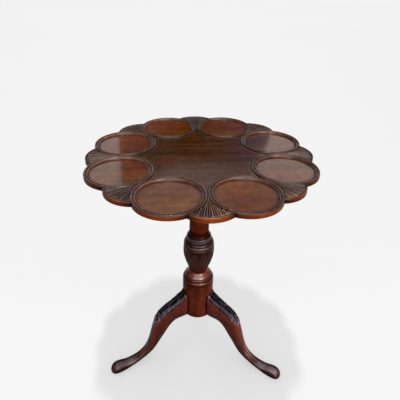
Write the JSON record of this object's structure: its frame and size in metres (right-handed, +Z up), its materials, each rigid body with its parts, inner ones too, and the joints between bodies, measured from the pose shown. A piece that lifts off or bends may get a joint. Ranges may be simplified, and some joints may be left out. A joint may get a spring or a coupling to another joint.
{
  "type": "tilt-top supper table",
  "caption": "Tilt-top supper table: scalloped dished top with round plate wells and carved fans, hinged on a block over a turned column with cabriole legs and held by a sprung catch.",
  "frame": {"origin": "on the floor below the column's axis, at the middle of the top's outline", "axes": "+Z up along the column, +X along the hinge, -Y the side that the top tilts down to"},
  "size_m": [0.648, 0.648, 0.711],
  "materials": {
    "top_mahogany": "dark polished mahogany, worn French polish",
    "column_mahogany": "dark polished mahogany",
    "leg_mahogany": "dark polished mahogany",
    "frame_wood": "unpolished mahogany",
    "catch_brass": "dull brass",
    "spring_steel": "spring steel",
    "screw_steel": "dark steel",
    "brace_iron": "blackened iron"
  },
  "bodies": {
    "base": {"column": "column_mahogany", "leg_back": "leg_mahogany", "leg_left": "leg_mahogany", "leg_right": "leg_mahogany", "leg_brace": "brace_iron", "leg_brace_screws": "screw_steel", "tilt_block": "frame_wood", "pintle_left": "frame_wood", "pintle_right": "frame_wood", "tenon_wedge": "frame_wood", "strike_plate": "catch_brass", "strike_screws": "screw_steel"},
    "top": {"top_panel": "top_mahogany", "bearer_left": "frame_wood", "bearer_right": "frame_wood", "bearer_screws": "screw_steel", "catch_plate": "catch_brass", "catch_case": "catch_brass", "catch_spring": "spring_steel", "catch_screws": "screw_steel"},
    "bolt": {"catch_bolt": "catch_brass", "catch_knob": "catch_brass"}
  },
  "joints": [
    {"name": "top_tilt", "type": "hinge", "parent": "base", "child": "top", "pos_m": [0, -0.065, 0.6727], "axis": [1, 0, 0], "range_deg": [0, 90]},
    {"name": "catch_slide", "type": "slide", "parent": "top", "child": "bolt", "axis": [0, -1, 0], "range_m": [0, 0.012], "stiffness_N_per_m": 150, "springref_m": 0.03, "deforming": ["catch_spring"]}
  ]
}
